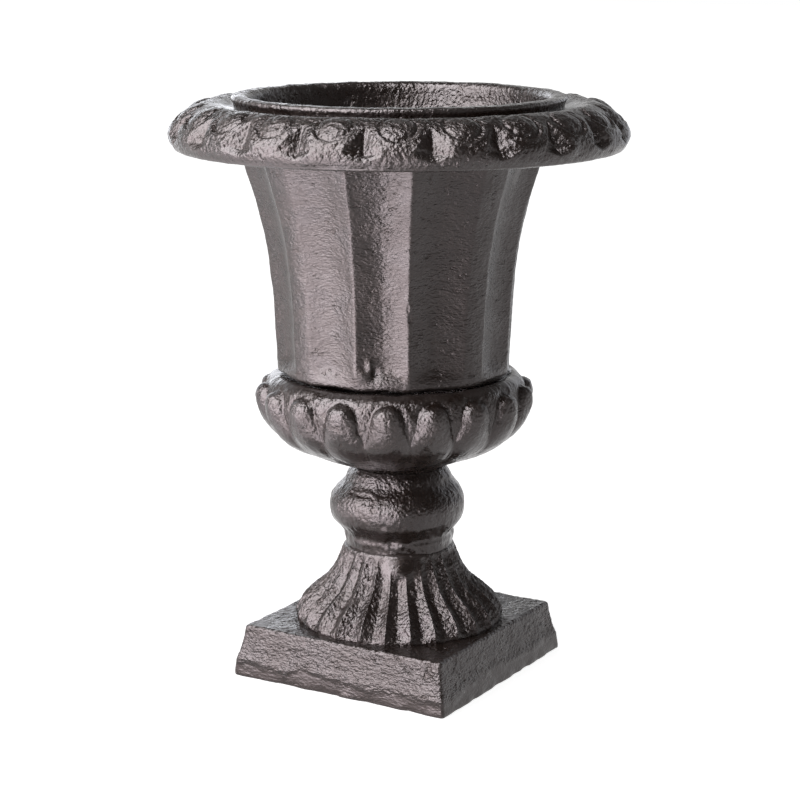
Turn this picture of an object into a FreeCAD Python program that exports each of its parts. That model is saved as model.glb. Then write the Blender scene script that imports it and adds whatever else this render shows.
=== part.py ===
import FreeCAD, Part
import math
import os

from FreeCAD import Vector

# Cast-iron urn planter on a square plinth, millimetres, +Z up.
# The origin is the middle of the plinth's underside, and the plinth's sides run along X and Y.
# Two castings, the bowl and the pedestal, are drawn together by one bolt on the centre line.

# ---- driving dimensions ----------------------------------------------------------------------
HEIGHT = 240.0                 # floor to the top of the collar

COLLAR_OUTER_RADIUS = 66.6     # plain ring round the mouth
MOUTH_RADIUS = 59.3            # straight wall that takes the rim of a liner pot
MOUTH_WALL = (226.5, 236.5)    # bottom and top of that wall
BODY_NECK_RADIUS = 62.0        # where the body runs up into the rim
COLLAR_STEP = 2.6              # height of the collar above the frieze
RIM_RADIUS = 92.8              # widest line of the rolled rim
RIM_WIDEST_HEIGHT = 224.5
RIM_LIP_HEIGHT = 218.4         # lower edge of the rim's lip
RIM_LIP_WIDTH = 5.0
RIM_HOLLOW_TOP = 229.0         # roof of the hollow under the rim
FRIEZE = ((78.5, 236.7), (84.7, 234.1), (89.6, 229.8), (92.3, 226.8))   # its fall to the widest line
EGG_COUNT = 22                 # egg-and-dart frieze
DART_ANGLE = -51.0             # polar angle of one dart
EGG_PLACE = (82.4, 235.0)      # radius and height of an egg's middle on the frieze
EGG_SLOPE = 21.0               # degrees, outward and down
DART_HALF_WIDTH = 5.2
DART_DEPTH = 3.0

FLUTE_ANGLES = (-23.0, -13.0, 13.0, 38.0)   # arrises in one quarter: a fillet, then three flutes
QUARTERS = 4
FLUTE_DEPTH = 2.3

LOBE_COUNT = 18                # gadrooned base of the bowl
LOBE_VALLEY_ANGLE = -52.3
LOBE_DEPTH = 2.6

SEAT_HEIGHT = 86.7             # where the bowl stands on the pedestal
SEAT_RADIUS = 19.2

RIB_COUNT = 26                 # fluted foot
RIB_ANGLE = -52.9
RIB_DEPTH = 1.8

PLINTH_SIDE_BOTTOM = 101.0
PLINTH_SIDE_TOP = 93.0
PLINTH_HEIGHT = 21.3
PLINTH_CORNER = 3.0
PLINTH_EDGE_ROUND = 2.0
PLINTH_WALL = 6.5
PLINTH_TOP_PLATE = 7.0
FLUE_RADIUS = 15.5             # hollow up the stem, wide enough for a socket on the nut

BOLT_DIAMETER = 8.0
BOLT_HOLE = 9.5                # loose, so the castings settle against each other
BOLT_HEAD_FLATS = 13.0
BOLT_HEAD_HEIGHT = 5.3
NUT_HEIGHT = 6.5
THREAD_BEYOND_NUT = 3.0
WASHER_RADIUS = 8.5
WASHER_THICKNESS = 1.6
FLOOR_THICKNESS = 8.3          # bowl floor at the bolt
WEB_THICKNESS = 8.2            # top of the pedestal at the bolt

# ---- derived heights ---------------------------------------------------------------------------
BOWL_FLOOR = SEAT_HEIGHT + FLOOR_THICKNESS
WEB_UNDERSIDE = SEAT_HEIGHT - WEB_THICKNESS
FRIEZE_TOP = HEIGHT - COLLAR_STEP
OVERLAP = 1.0                  # how far one form runs into the next before they are fused


def polar(radius, degrees, height):
    """Point at a polar angle on the circle of this radius and height."""
    angle = math.radians(degrees)
    return Vector(radius * math.cos(angle), radius * math.sin(angle), height)


def section(radius, height):
    """Point of a profile in the XZ half plane."""
    return Vector(radius, 0, height)


def arc(start, middle, end):
    """Circular arc through three profile points given as (radius, height)."""
    return Part.Arc(section(*start), section(*middle), section(*end)).toShape()


def straight(*points):
    """Straight edges from each profile point, given as (radius, height), to the next."""
    return [Part.makeLine(section(*start), section(*end)) for start, end in zip(points, points[1:])]


def revolve(edges):
    """Full turn of a closed profile about the centre line."""
    face = Part.Face(Part.Wire(edges))
    return face.revolve(Vector(0, 0, 0), Vector(0, 0, 1), 360)


def scalloped_wire(height, corner_radius, corner_angles, middle_radii):
    """Closed plan outline: one arc between each two corners, through its own middle radius."""
    edges = []
    count = len(corner_angles)
    for index in range(count):
        start = corner_angles[index]
        end = corner_angles[(index + 1) % count]
        if end <= start:
            end += 360
        middle = polar(middle_radii[index], (start + end) / 2, height)
        edges.append(Part.Arc(polar(corner_radius, start, height), middle,
                              polar(corner_radius, end, height)).toShape())
    return Part.Wire(edges)


# ---- bowl ----------------------------------------------------------------------------------------
def flute_corners():
    """Polar angles of every arris round the body, in order."""
    return [angle + 90.0 * quarter for quarter in range(QUARTERS) for angle in FLUTE_ANGLES]


def fluted_body():
    """Tapering body: in each quarter a plain fillet and three hollow flutes."""
    stations = ((122, 47.6), (150, 48.5), (172, 50.4), (190, 53.5), (208, 58.7), (232, 68.2))
    corners = flute_corners()
    wires = []
    for height, radius in stations:
        middles = []
        for index, start in enumerate(corners):
            end = corners[(index + 1) % len(corners)]
            half_angle = math.radians((end - start) % 360 / 2)
            is_fillet = index % len(FLUTE_ANGLES) == 0
            hollow = radius * math.cos(half_angle) - FLUTE_DEPTH
            middles.append(radius if is_fillet else hollow)
        wires.append(scalloped_wire(height, radius, corners, middles))
    return Part.makeLoft(wires, True, True)


def gadrooned_base():
    """Bulging base of the bowl: lobes that swell into knobs and fade into a plain shoulder."""
    stations = (                     # height, crest radius, share of the full lobe depth
        (88.6, 21.0, 0.30), (92.3, 30.0, 0.60), (95.8, 38.8, 0.80), (99.8, 46.6, 0.95),
        (104.5, 52.0, 1.00), (110.0, 55.4, 1.05), (116.5, 56.7, 1.10), (121.5, 55.0, 0.70),
        (125.5, 51.6, 0.35), (129.3, 47.9, 0.0))
    pitch = 360.0 / LOBE_COUNT
    corners = [LOBE_VALLEY_ANGLE + pitch * index for index in range(LOBE_COUNT)]
    wires = []
    for height, crest, share in stations:
        valley = crest - LOBE_DEPTH * share
        wires.append(scalloped_wire(height, valley, corners, [crest] * LOBE_COUNT))
    return Part.makeLoft(wires, True, True)


def rolled_rim():
    """Collar and overhanging rim as a full ring, before its underside is hollowed."""
    inner_top = (MOUTH_RADIUS - OVERLAP, HEIGHT)
    return revolve(straight(
        inner_top,
        (COLLAR_OUTER_RADIUS, HEIGHT),
        (COLLAR_OUTER_RADIUS + 0.6, FRIEZE_TOP),
        *FRIEZE,
        (RIM_RADIUS, RIM_WIDEST_HEIGHT),
        (RIM_RADIUS - 1.4, RIM_LIP_HEIGHT),
        (MOUTH_RADIUS - OVERLAP, RIM_LIP_HEIGHT),
        inner_top))


def rim_hollow():
    """Ring-shaped hollow under the rim, which keeps the overhang about as thick as the walls."""
    lip_inner = RIM_RADIUS - RIM_LIP_WIDTH
    below = RIM_LIP_HEIGHT - OVERLAP
    inner = BODY_NECK_RADIUS - 2
    return revolve(straight(
        (lip_inner, below), (lip_inner, RIM_LIP_HEIGHT), (80.5, 225.0), (68.0, RIM_HOLLOW_TOP),
        (inner, RIM_HOLLOW_TOP), (inner, below), (lip_inner, below)))


def egg():
    """One egg of the frieze at angle zero: a faceted oval that narrows to its crown, set on the slope."""
    half_length = 7.6
    half_width = 5.6
    sides = 10
    rings = ((-1.5, 1.0), (1.2, 0.84), (2.3, 0.45))      # height above the slope, share of the full oval
    wires = []
    for height, share in rings:
        corners = []
        for index in range(sides + 1):
            turn = 2 * math.pi * index / sides
            corners.append(Vector(half_length * share * math.cos(turn),
                                  half_width * share * math.sin(turn), height))
        wires.append(Part.makePolygon(corners))
    solid = Part.makeLoft(wires, True, True)
    solid.rotate(Vector(0, 0, 0), Vector(0, 1, 0), EGG_SLOPE)
    solid.translate(section(*EGG_PLACE))
    return solid


def dart():
    """One dart of the frieze at angle zero: a four-sided hollow, pointed inward and outward."""
    inner = Vector(80.5, 0, 236.0)
    left = Vector(87.5, DART_HALF_WIDTH, 231.6)
    right = Vector(87.5, -DART_HALF_WIDTH, 231.6)
    outer = Vector(92.8, 0, 225.6)
    keel = Vector(86.0, 0, 233.0 - DART_DEPTH)
    cutter_height = 8.0
    lift = Vector(0, 0, cutter_height)
    corners = [inner, left, outer, right]
    outlines = [[inner + lift, left + lift, right + lift], [left + lift, outer + lift, right + lift]]
    for start, end in zip(corners, corners[1:] + corners[:1]):
        outlines.append([start, end, keel])
        outlines.append([start, end, end + lift, start + lift])
    faces = [Part.Face(Part.makePolygon(outline + outline[:1])) for outline in outlines]
    return Part.Solid(Part.Shell(faces))


def around(shape, count, first_angle):
    """Copies of a shape spaced evenly about the centre line."""
    copies = []
    for index in range(count):
        copy = shape.copy()
        copy.rotate(Vector(0, 0, 0), Vector(0, 0, 1), first_angle + 360.0 * index / count)
        copies.append(copy)
    return copies


def bowl_cavity():
    """Hollow of the bowl with its straight mouth wall and eased edge, and the bolt's hole in its floor."""
    hollow = revolve(straight(
        (0, BOWL_FLOOR), (22, BOWL_FLOOR), (36.5, 101), (42.0, 112), (41.0, 140), (44.6, 182), (55.0, 216),
        (MOUTH_RADIUS, MOUTH_WALL[0]), (MOUTH_RADIUS, MOUTH_WALL[1]), (MOUTH_RADIUS + 1.2, HEIGHT - 1.2),
        (MOUTH_RADIUS + 4.5, HEIGHT), (MOUTH_RADIUS + 4.5, HEIGHT + OVERLAP), (0, HEIGHT + OVERLAP),
        (0, BOWL_FLOOR)))
    hole = Part.makeCylinder(BOLT_HOLE / 2, FLOOR_THICKNESS + 4, Vector(0, 0, SEAT_HEIGHT - 2))
    return hollow.fuse(hole)


def bowl():
    """The upper casting: rim, fluted body and gadrooned base in one piece."""
    pitch = 360.0 / EGG_COUNT
    rim = rolled_rim().fuse(around(egg(), EGG_COUNT, DART_ANGLE + pitch / 2))
    rim = rim.cut(around(dart(), EGG_COUNT, DART_ANGLE) + [rim_hollow()])
    foot = Part.makeCylinder(SEAT_RADIUS, 5, Vector(0, 0, SEAT_HEIGHT))
    return rim.fuse([fluted_body(), gadrooned_base(), foot]).cut(bowl_cavity())


# ---- pedestal ------------------------------------------------------------------------------------
def stem():
    """Turned upper part of the pedestal: neck, knop, groove and a small collar."""
    seat = (SEAT_RADIUS, SEAT_HEIGHT)
    neck = (22.4, 80.6)
    knop_foot = (23.6, 60.4)
    return revolve([
        arc(seat, (21.0, 84.0), neck),
        arc(neck, (28.1, 70.6), knop_foot),
        *straight(knop_foot, (22.4, 59.0), (23.5, 57.2), (23.5, 54.4), (22.2, 53.0), (22.2, 51.0),
                  (0, 51.0), (0, SEAT_HEIGHT), seat)])


def fluted_foot():
    """Spreading foot with narrow hollow flutes that meet in sharp arrises."""
    stations = (                     # height, arris radius, share of the full flute depth
        (PLINTH_HEIGHT - OVERLAP, 44.6, 1.0), (24.0, 44.3, 1.0), (28.0, 41.7, 1.0),
        (32.2, 37.2, 0.95), (36.7, 32.0, 0.85), (41.5, 28.3, 0.65), (46.8, 25.6, 0.45), (52.6, 23.2, 0.3))
    pitch = 360.0 / RIB_COUNT
    corners = [RIB_ANGLE + pitch * index for index in range(RIB_COUNT)]
    half_angle = math.radians(pitch / 2)
    wires = []
    for height, arris, share in stations:
        hollow = arris * math.cos(half_angle) - RIB_DEPTH * share
        wires.append(scalloped_wire(height, arris, corners, [hollow] * RIB_COUNT))
    return Part.makeLoft(wires, True, True)


def leaning_block(bottom_side, top_side, base, top):
    """Square block with leaning sides, centred on the axis."""
    outer = bottom_side / 2
    inner = top_side / 2
    wedge = Part.makeWedge(-outer, 0, -outer, -inner, -inner, outer, top - base, outer, inner, inner)
    wedge.rotate(Vector(0, 0, 0), Vector(1, 0, 0), 90)
    wedge.translate(Vector(0, 0, base))
    return wedge


def corner_edges(block):
    """The four leaning edges of a block, which are its only edges that span its height."""
    tall = block.BoundBox.ZLength - 0.01
    return [edge for edge in block.Edges if edge.BoundBox.ZLength > tall]


def plinth():
    """Square block with leaning sides, round corners and a softened top edge."""
    block = leaning_block(PLINTH_SIDE_BOTTOM, PLINTH_SIDE_TOP, 0, PLINTH_HEIGHT)
    block = block.makeFillet(PLINTH_CORNER, corner_edges(block))
    top_edges = [edge for edge in block.Edges if edge.BoundBox.ZMin > PLINTH_HEIGHT - 0.01]
    return block.makeFillet(PLINTH_EDGE_ROUND, top_edges)


def pedestal_cavity():
    """Open hollow under the plinth and up the stem, with the bolt's hole through the top web."""
    inner_bottom = PLINTH_SIDE_BOTTOM - 2 * PLINTH_WALL
    inner_top = PLINTH_SIDE_TOP - 2 * PLINTH_WALL
    pocket_top = PLINTH_HEIGHT - PLINTH_TOP_PLATE
    pocket = leaning_block(inner_bottom, inner_top, -OVERLAP, pocket_top)
    pocket = pocket.makeFillet(PLINTH_CORNER, corner_edges(pocket))
    base = pocket_top - OVERLAP
    flue = revolve(straight(
        (0, base), (36.0, base), (34.5, 21.0), (21.6, 34.0), (FLUE_RADIUS, 52.0),
        (FLUE_RADIUS, WEB_UNDERSIDE), (0, WEB_UNDERSIDE), (0, base)))
    hole = Part.makeCylinder(BOLT_HOLE / 2, WEB_THICKNESS + 4, Vector(0, 0, WEB_UNDERSIDE - 2))
    return pocket.fuse([flue, hole])


def pedestal():
    """The lower casting: stem, fluted foot and plinth in one piece, hollow from below."""
    return plinth().fuse([fluted_foot(), stem()]).cut(pedestal_cavity())


# ---- fastening -----------------------------------------------------------------------------------
def hexagon(flats, height, base):
    """Hexagonal prism on the centre line."""
    corner_radius = flats / math.sqrt(3)
    corners = [polar(corner_radius, 60 * index, base) for index in range(7)]
    return Part.Face(Part.makePolygon(corners)).extrude(Vector(0, 0, height))


def washer(base):
    """Plain washer on the bolt, standing on this height."""
    ring = Part.makeCylinder(WASHER_RADIUS, WASHER_THICKNESS, Vector(0, 0, base))
    return ring.cut(Part.makeCylinder(BOLT_HOLE / 2 - 0.5, WASHER_THICKNESS, Vector(0, 0, base)))


def bolt():
    """Hexagon bolt, head in the bowl and end in the hollow stem."""
    head_base = BOWL_FLOOR + WASHER_THICKNESS
    end = WEB_UNDERSIDE - WASHER_THICKNESS - NUT_HEIGHT - THREAD_BEYOND_NUT
    head = hexagon(BOLT_HEAD_FLATS, BOLT_HEAD_HEIGHT, head_base)
    shank = Part.makeCylinder(BOLT_DIAMETER / 2, head_base - end + OVERLAP, Vector(0, 0, end))
    return head.fuse(shank)


def nut():
    """Hexagon nut under the pedestal's web."""
    base = WEB_UNDERSIDE - WASHER_THICKNESS - NUT_HEIGHT
    body = hexagon(BOLT_HEAD_FLATS, NUT_HEIGHT, base)
    return body.cut(Part.makeCylinder(BOLT_DIAMETER / 2, NUT_HEIGHT, Vector(0, 0, base)))


def main():
    """Build every piece and write each one to its own STEP file."""
    pieces = {
        "bowl": bowl(),
        "pedestal": pedestal(),
        "bolt": bolt(),
        "washer_bowl": washer(BOWL_FLOOR),
        "washer_pedestal": washer(WEB_UNDERSIDE - WASHER_THICKNESS),
        "nut": nut(),
    }
    os.makedirs("parts", exist_ok=True)
    for name, shape in pieces.items():
        solid = shape.Solids[0] if len(shape.Solids) == 1 else shape
        box = solid.optimalBoundingBox(False)
        print(name, "valid", solid.isValid(), "solids", len(shape.Solids), "faces", len(solid.Faces),
              "volume", round(solid.Volume), "box", [round(value, 2) for value in
                                                    (box.XMin, box.YMin, box.ZMin, box.XMax, box.YMax, box.ZMax)])
        solid.exportStep("parts/" + name + ".step")


main()
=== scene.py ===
# %% [markdown]
# # Cast-iron urn planter
#
# A small garden urn: a fluted bowl with a rolled egg-and-dart rim, standing on a turned stem, a fluted
# foot and a square plinth. Both castings come out of sand moulds, so their skin is grainy, and a dark
# brown coat with a satin gloss covers it. Its sizes are those of the frame's solids. This script makes
# the skin: each casting is rebuilt as closed surfaces whose relief, lumps and pits are real geometry.
# The materials lay finer grain over it as bump, from about 3 mm down to a fraction of a millimetre.

# %% load the frame
import math

import bpy
import numpy as np
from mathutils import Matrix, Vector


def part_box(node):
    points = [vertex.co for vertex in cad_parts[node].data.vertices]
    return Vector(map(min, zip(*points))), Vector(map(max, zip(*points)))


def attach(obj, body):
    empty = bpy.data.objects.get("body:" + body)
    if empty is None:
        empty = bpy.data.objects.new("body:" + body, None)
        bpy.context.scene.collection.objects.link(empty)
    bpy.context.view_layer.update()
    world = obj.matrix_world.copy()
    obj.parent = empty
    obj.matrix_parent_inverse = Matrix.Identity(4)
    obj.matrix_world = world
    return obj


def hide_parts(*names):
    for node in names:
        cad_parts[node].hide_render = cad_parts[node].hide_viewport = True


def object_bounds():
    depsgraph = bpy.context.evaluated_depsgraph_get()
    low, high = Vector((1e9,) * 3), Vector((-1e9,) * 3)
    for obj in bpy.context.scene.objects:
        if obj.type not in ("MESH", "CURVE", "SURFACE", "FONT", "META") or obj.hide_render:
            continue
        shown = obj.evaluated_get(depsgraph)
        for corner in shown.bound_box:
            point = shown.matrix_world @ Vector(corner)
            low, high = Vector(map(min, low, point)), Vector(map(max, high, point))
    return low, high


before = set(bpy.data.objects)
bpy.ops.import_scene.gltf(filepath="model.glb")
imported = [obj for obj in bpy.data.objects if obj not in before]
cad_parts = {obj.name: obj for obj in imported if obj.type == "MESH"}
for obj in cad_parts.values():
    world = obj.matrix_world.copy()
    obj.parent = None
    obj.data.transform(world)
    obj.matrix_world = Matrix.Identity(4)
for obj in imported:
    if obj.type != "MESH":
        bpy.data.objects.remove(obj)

cad_low, cad_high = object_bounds()
MM = 0.001
BODY = "urn"
print("frame nodes:", sorted(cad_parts), "height", round(cad_high.z / MM, 1), "mm")

# %% [markdown]
# ## Sections
#
# A turner's template is cut as a section and swept round the axis. The sections here are written the
# same way, as (radius, height) in millimetres. A section is a closed loop of runs. Each run is a smooth
# curve through a few points, and where two runs meet the corner stays crisp. Going up the outside, over
# the top and down the inside makes every surface face outwards.


# %% smooth runs and loops
SPAN_STEPS = 24         # places worked out between two points of a run, before they are spaced evenly


def smooth_run(points, count):
    """Catmull-Rom curve through the points, as `count` points evenly spaced along it.

    Between b and c, with neighbours a and d, it is half of
    2b + (c - a) t + (2a - 5b + 4c - d) t^2 + (3b - a - 3c + d) t^3."""
    points = np.array(points, float)
    knots = np.vstack([2 * points[0] - points[1], points, 2 * points[-1] - points[-2]])
    t = np.linspace(0, 1, SPAN_STEPS, endpoint=False)[:, None]
    spans = [0.5 * (2 * b + (c - a) * t + (2 * a - 5 * b + 4 * c - d) * t**2
                    + (3 * b - a - 3 * c + d) * t**3)
             for a, b, c, d in zip(knots, knots[1:], knots[2:], knots[3:])]
    curve = np.vstack(spans + [points[-1:]])
    length = np.concatenate([[0], np.cumsum(np.linalg.norm(np.diff(curve, axis=0), axis=1))])
    even = np.linspace(0, length[-1], count)
    return np.column_stack([np.interp(even, length, curve[:, axis]) for axis in range(points.shape[1])])


def section_loop(*runs):
    """Closed section from (count, points) runs that follow each other, and the number of each row's run."""
    rows = []
    owner = []
    for number, (count, points) in enumerate(runs):
        rows.append(smooth_run(points, count)[:-1])
        owner += [number] * (count - 1)
    return np.vstack(rows), np.array(owner)


def run_lengths(section, owner, number):
    """Distance of each row from the start of its run, for the rows of one run, and 0 for the rest."""
    steps = np.linalg.norm(np.diff(section, axis=0, append=section[:1]), axis=1)
    inside = owner == number
    along = np.cumsum(np.where(inside, steps, 0)) - np.where(inside, steps, 0)
    return np.where(inside, along, 0)[:, None]


# %% [markdown]
# ## Surfaces of two parameters
#
# Every skin is a grid: rows follow the section, and columns go round the axis. A casting's relief is
# then one number for each point, the distance to move along the surface's own normal. Whole arrays are
# worked out at once.


# %% grids, normals and meshes
TINY = 1e-9             # keeps a normal of length 0 from being divided by 0
RIDGE_REACH = 2         # grid steps to the neighbours that a ridge stands out from


def turned_grid(section, columns):
    """Grid of a section swept round the axis: rows x columns x 3, and the polar angle of each column."""
    angles = np.linspace(0, 2 * math.pi, columns, endpoint=False)
    radius = section[:, :1]
    height = np.broadcast_to(section[:, 1:2], (len(section), columns))
    return np.stack([radius * np.cos(angles), radius * np.sin(angles), height], axis=2), np.degrees(angles)


def polar_grid(radius, heights, degrees):
    """Grid from a radius at each row and column, a height for each row and an angle for each column."""
    turn = np.radians(degrees)
    tall = np.broadcast_to(np.array(heights)[:, None], radius.shape)
    return np.stack([radius * np.cos(turn), radius * np.sin(turn), tall], axis=2)


def grid_normals(grid):
    """Unit normals, from the cross product of the steps round the axis and along the section."""
    around = np.roll(grid, -1, 1) - np.roll(grid, 1, 1)
    along = np.roll(grid, -1, 0) - np.roll(grid, 1, 0)
    normals = np.cross(around, along)
    return normals / np.maximum(np.linalg.norm(normals, axis=2, keepdims=True), TINY)


def raised(grid, height):
    """The grid moved along its normals by a height in millimetres."""
    return grid + grid_normals(grid) * height[:, :, None]


def ridges(grid):
    """Height of each point above the mean of its neighbours RIDGE_REACH steps away, in millimetres."""
    shifts = (-RIDGE_REACH, RIDGE_REACH)
    mean = sum(np.roll(grid, shift, axis) for axis in (0, 1) for shift in shifts) / 4
    return np.sum((grid - mean) * grid_normals(grid), axis=2)


def grid_mesh(name, grid, masks=None, closed_rows=True):
    """A piece from a grid. Columns always join up. Rows join up too, or else end in a pole at each end."""
    rows, columns = grid.shape[:2]
    index = np.arange(rows * columns).reshape(rows, columns)
    below = index if closed_rows else index[:-1]
    above = np.roll(index, -1, 0) if closed_rows else index[1:]
    corners = np.stack([below, np.roll(below, -1, 1), np.roll(above, -1, 1), above], axis=2)
    faces = corners.reshape(-1, 4).tolist()
    points = grid.reshape(-1, 3)
    if not closed_rows:
        points = np.vstack([points, grid[0].mean(0), grid[-1].mean(0)])
        start, end = rows * columns, rows * columns + 1
        faces += [[start, b, a] for a, b in zip(index[0], np.roll(index[0], -1))]
        faces += [[end, a, b] for a, b in zip(index[-1], np.roll(index[-1], -1))]
    points = np.clip(points * MM, np.array(cad_low), np.array(cad_high))
    mesh = bpy.data.meshes.new(name)
    mesh.from_pydata(points.tolist(), [], faces)
    for mask_name, values in (masks or {}).items():
        spare = len(points) - values.size
        attribute = mesh.attributes.new(mask_name, "FLOAT", "POINT")
        padded = np.concatenate([values.ravel(), np.zeros(spare)])
        attribute.data.foreach_set("value", padded.astype(np.float32))
    mesh.shade_smooth()
    piece = bpy.data.objects.new(name, mesh)
    bpy.context.scene.collection.objects.link(piece)
    print(f"{name}: {rows} x {columns} grid, {len(mesh.vertices)} points")
    return piece


def casting_piece(name, grid, grainy):
    """A casting's piece with two masks: ridge, where it stands out, and grainy, how rough its sand was."""
    return grid_mesh(name, grid, {"ridge": ridges(grid), "grainy": grainy + 0 * grid[:, :, 0]})


# %% [markdown]
# ## Sand
#
# Molten iron copies every grain and tear of the mould. That roughness has many sizes at once: swellings
# of 5 to 10 mm where the sand gave way, lumps of 2 mm, and grains of about 1 mm. Value noise makes all of
# them: each corner of a cubic lattice gets a number from a hash, and the numbers are blended between the
# corners. It reads only the place in space and a seed, so it comes out the same on every run.


# %% noise in space
PRIMES = np.array([73856093, 19349663, 83492791], np.uint64)
SEED_PRIME = 668265263
HASH_STEPS = ((15, 2246822519), (13, 3266489917))
WORD_MASK = np.uint64(0xFFFFFFFF)
HALF_WORD = 2147483648.0
LATTICE_SHIFT = 4096    # keeps the lattice's coordinates above 0
SWELLING_WIDTH = 8.0
LUMP_WIDTH = 2.3
GRAIN_WIDTH = 1.1
SKIN_SET_BACK = 0.1     # how far the middle of a grainy skin lies inside its section


def hashed(cells, seed):
    """A fixed number from -1 to 1 for each lattice cell, by multiplying and folding its coordinates."""
    word = (cells.astype(np.uint64) * PRIMES).sum(axis=-1) + np.uint64(seed * SEED_PRIME)
    word &= WORD_MASK
    for shift, factor in HASH_STEPS:
        word = ((word ^ (word >> np.uint64(shift))) * np.uint64(factor)) & WORD_MASK
    return word / HALF_WORD - 1.0


def lumps(grid, lump, seed, stretch=(1, 1, 1)):
    """Smooth noise from -1 to 1 over a grid, with lumps about this many millimetres wide.

    Between lattice corners each part f of a cell is eased as f^2 (3 - 2 f)."""
    place = grid / (lump * np.array(stretch)) + LATTICE_SHIFT
    cell = np.floor(place).astype(np.int64)
    part = place - cell
    ease = part * part * (3 - 2 * part)
    total = np.zeros(grid.shape[:2])
    for corner in np.ndindex(2, 2, 2):
        weight = np.prod(np.where(np.array(corner), ease, 1 - ease), axis=2)
        total += weight * hashed(cell + np.array(corner), seed)
    return total


def sand(grid, swell, coarse, fine, seed, stretch=(1, 1, 1)):
    """Relief of a sand-cast skin in millimetres, from the depths of its swellings, lumps and grains."""
    return (swell * lumps(grid, SWELLING_WIDTH, seed) + coarse * lumps(grid, LUMP_WIDTH, seed + 1, stretch)
            + fine * lumps(grid, GRAIN_WIDTH, seed + 2, stretch))


def bell(distance, width):
    """Round bump of height 1: exp(-(distance / width)^2)."""
    return np.exp(-((distance / width) ** 2))


def step(value, start, end):
    """Eased step from 0 at start to 1 at end."""
    share = np.clip((value - start) / (end - start), 0, 1)
    return share * share * (3 - 2 * share)


def turn_from(degrees, centre, pitch=360.0):
    """Signed angle from the nearest of the marks that start at centre and repeat every pitch."""
    return (degrees - centre + pitch / 2) % pitch - pitch / 2


# %% [markdown]
# ## Where things are round the axis
#
# The plinth's sides run along X and Y, and the camera looks from -59 degrees. Every repeated form has
# one measured mark, and the rest follow from its count. They are the marks of the solids.

# %% counts and marks
CAMERA_POLAR = -59.0    # the photograph's side
UNITS = 22              # eggs, and as many darts
DART_MARK = -51.0
UNIT_PITCH = 360.0 / UNITS
ARRISES = (-23.0, -13.0, 13.0, 38.0, 67.0)    # in one quarter: a fillet, then three flutes
LOBES = 18
LOBE_VALLEY = -52.3
LOBE_PITCH = 360.0 / LOBES
RIBS = 26
RIB_MARK = -52.9
RIB_PITCH = 360.0 / RIBS
print("egg pitch", round(UNIT_PITCH, 2), "lobe pitch", LOBE_PITCH, "rib pitch", round(RIB_PITCH, 2))

# %% [markdown]
# ## Rim
#
# The rolled rim carries the egg-and-dart: an egg in a shell, and between two shells a dart. On this
# casting the dart is a three-sided hollow whose point looks inward. All edges are soft, as sand leaves
# them. Below the darts comes a grainy band, then a smooth lip, and a groove parts the frieze's crest
# from the collar. A place on the frieze is given as its reach: the distance along the section,
# counted outwards, with CREST_REACH at the crest.

# %% rim
RIM_COLUMNS = 56 * UNITS
CREST_REACH = 8.0
EGG_REACH = 15.4        # middle of an egg
EGG_HALF_WIDTH = 6.4
EGG_HALF_LENGTH = 6.8
EGG_HEIGHT = 1.0
SHELL_HEIGHT = 0.55
DART_POINT = 15.0       # reach of a dart's point
DART_END = 32.0         # reach of its wide end
DART_HALF_WIDTH = 7.6
DART_DEPTH = 3.6


def egg_and_dart(reach, degrees, radius):
    """Height of the frieze in millimetres, at a reach along the section.

    Egg: height (1 - q^2)^0.7, where q is the distance from its middle in egg radii, in a groove at
    q = 1.1. Shell: a ridge at q = 1.33. Dart: falls in a straight line from its sides to its keel."""
    egg_turn = np.radians(turn_from(degrees, DART_MARK + UNIT_PITCH / 2, UNIT_PITCH)) * radius
    dart_turn = np.radians(turn_from(degrees, DART_MARK, UNIT_PITCH)) * radius
    q = np.hypot(egg_turn / EGG_HALF_WIDTH, (reach - EGG_REACH) / EGG_HALF_LENGTH)
    egg = EGG_HEIGHT * np.clip(1 - q * q, 0, 1) ** 0.7 - 0.35 * bell(q - 1.1, 0.1)
    shell = SHELL_HEIGHT * bell(q - 1.33, 0.12) * step(reach, 15, 20)
    spread = np.minimum((reach - DART_POINT) / 12.5, (DART_END - reach) / 3.4)
    half_width = DART_HALF_WIDTH * np.clip(spread, 0.02, 1)
    keel_depth = DART_DEPTH * step(reach, 14.0, 24.0) * (1 - step(reach, 28.5, DART_END))
    dart = -keel_depth * np.clip(1 - np.abs(dart_turn) / half_width, 0, 1)
    return (egg + shell) * (1 - bell(dart_turn, 4.0) * step(reach, 19, 23)) + dart


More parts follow.
